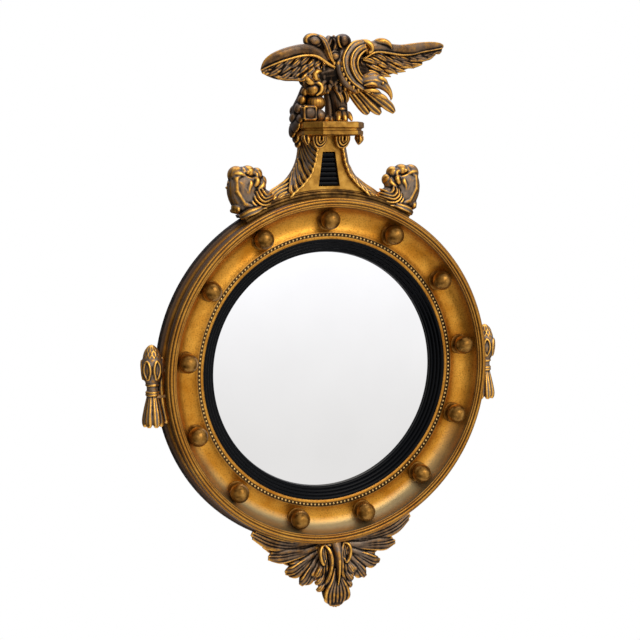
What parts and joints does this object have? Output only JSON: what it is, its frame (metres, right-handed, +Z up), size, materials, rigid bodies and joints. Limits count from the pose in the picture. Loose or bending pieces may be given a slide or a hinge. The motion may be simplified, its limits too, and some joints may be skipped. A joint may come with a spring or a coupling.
{
  "type": "girandole mirror",
  "caption": "Round convex wall mirror in a gilded ring set with balls, with an ebonised slip, an eagle on a pedestal above, a leaf apron below and torches at the sides.",
  "frame": {"origin": "centre of the mirror's ring, on the plane of the wall", "axes": "+Z up, +X to the viewer's right, +Y into the wall, so the mirror faces -Y"},
  "size_m": [0.6058, 0.081, 0.894],
  "materials": {
    "gilt_ring": "aged gold leaf over gesso, semi gloss",
    "gilt_balls": "dark bronze gold leaf, semi gloss",
    "gilt_pearls": "gold leaf, rubbed",
    "gilt_carving": "bronze gold leaf with a grey wax in the hollows",
    "dark_ring": "dark bronze gold, rubbed",
    "ebonised_wood": "ebonised, satin",
    "silvered_glass": "polished convex glass, silvered behind",
    "pine": "bare softwood",
    "beech": "bare hardwood",
    "iron": "plain rod",
    "brass": "dull brass",
    "steel_screws": "plain steel"
  },
  "bodies": {
    "frame": {"acanthus_left": "gilt_carving", "acanthus_right": "gilt_carving", "apron_batten": "pine", "apron_batten_screws": "steel_screws", "apron_leaf": "gilt_carving", "apron_spray_left": "gilt_carving", "apron_spray_right": "gilt_carving", "back_panel": "pine", "back_panel_screws": "steel_screws", "back_ring": "dark_ring", "ball_01": "gilt_balls", "ball_02": "gilt_balls", "ball_03": "gilt_balls", "ball_04": "gilt_balls", "ball_05": "gilt_balls", "ball_06": "gilt_balls", "ball_07": "gilt_balls", "ball_08": "gilt_balls", "ball_09": "gilt_balls", "ball_10": "gilt_balls", "ball_11": "gilt_balls", "ball_12": "gilt_balls", "ball_13": "gilt_balls", "bead_string": "gilt_pearls", "cap_dowels": "beech", "console_left": "gilt_carving", "console_right": "gilt_carving", "corner_drop_left": "gilt_carving", "corner_drop_right": "gilt_carving", "crest_batten": "pine", "crest_batten_screws": "steel_screws", "crest_rail": "gilt_carving", "eagle_body": "gilt_carving", "eagle_head": "gilt_carving", "eagle_leg_left": "gilt_carving", "eagle_leg_right": "gilt_carving", "eagle_rock": "gilt_carving", "eagle_rods": "iron", "eagle_tail": "gilt_carving", "eagle_wing_left": "gilt_carving", "eagle_wing_right": "gilt_carving", "front_ring": "gilt_ring", "glazing_blocks": "pine", "hanger_screws": "steel_screws", "hanger_strap_left": "brass", "hanger_strap_right": "brass", "mirror_glass": "silvered_glass", "pedestal_block": "gilt_carving", "pedestal_cap": "gilt_carving", "pedestal_panel": "ebonised_wood", "reeded_slip": "ebonised_wood", "ring_screws": "steel_screws", "scroll_left": "gilt_carving", "scroll_pins": "beech", "scroll_right": "gilt_carving", "torch_dowels": "beech", "torch_left": "gilt_carving", "torch_right": "gilt_carving"},
    "hanger_ring_left": {"hanger_ring_left": "brass"},
    "hanger_ring_right": {"hanger_ring_right": "brass"}
  },
  "joints": [
    {"name": "hanger_ring_left_swing", "type": "hinge", "parent": "frame", "child": "hanger_ring_left", "pos_m": [-0.22144, -0.006, 0.104], "axis": [1, 0, 0], "range_deg": [0, 180]},
    {"name": "hanger_ring_right_swing", "type": "hinge", "parent": "frame", "child": "hanger_ring_right", "pos_m": [0.22144, -0.006, 0.104], "axis": [1, 0, 0], "range_deg": [0, 180]}
  ]
}
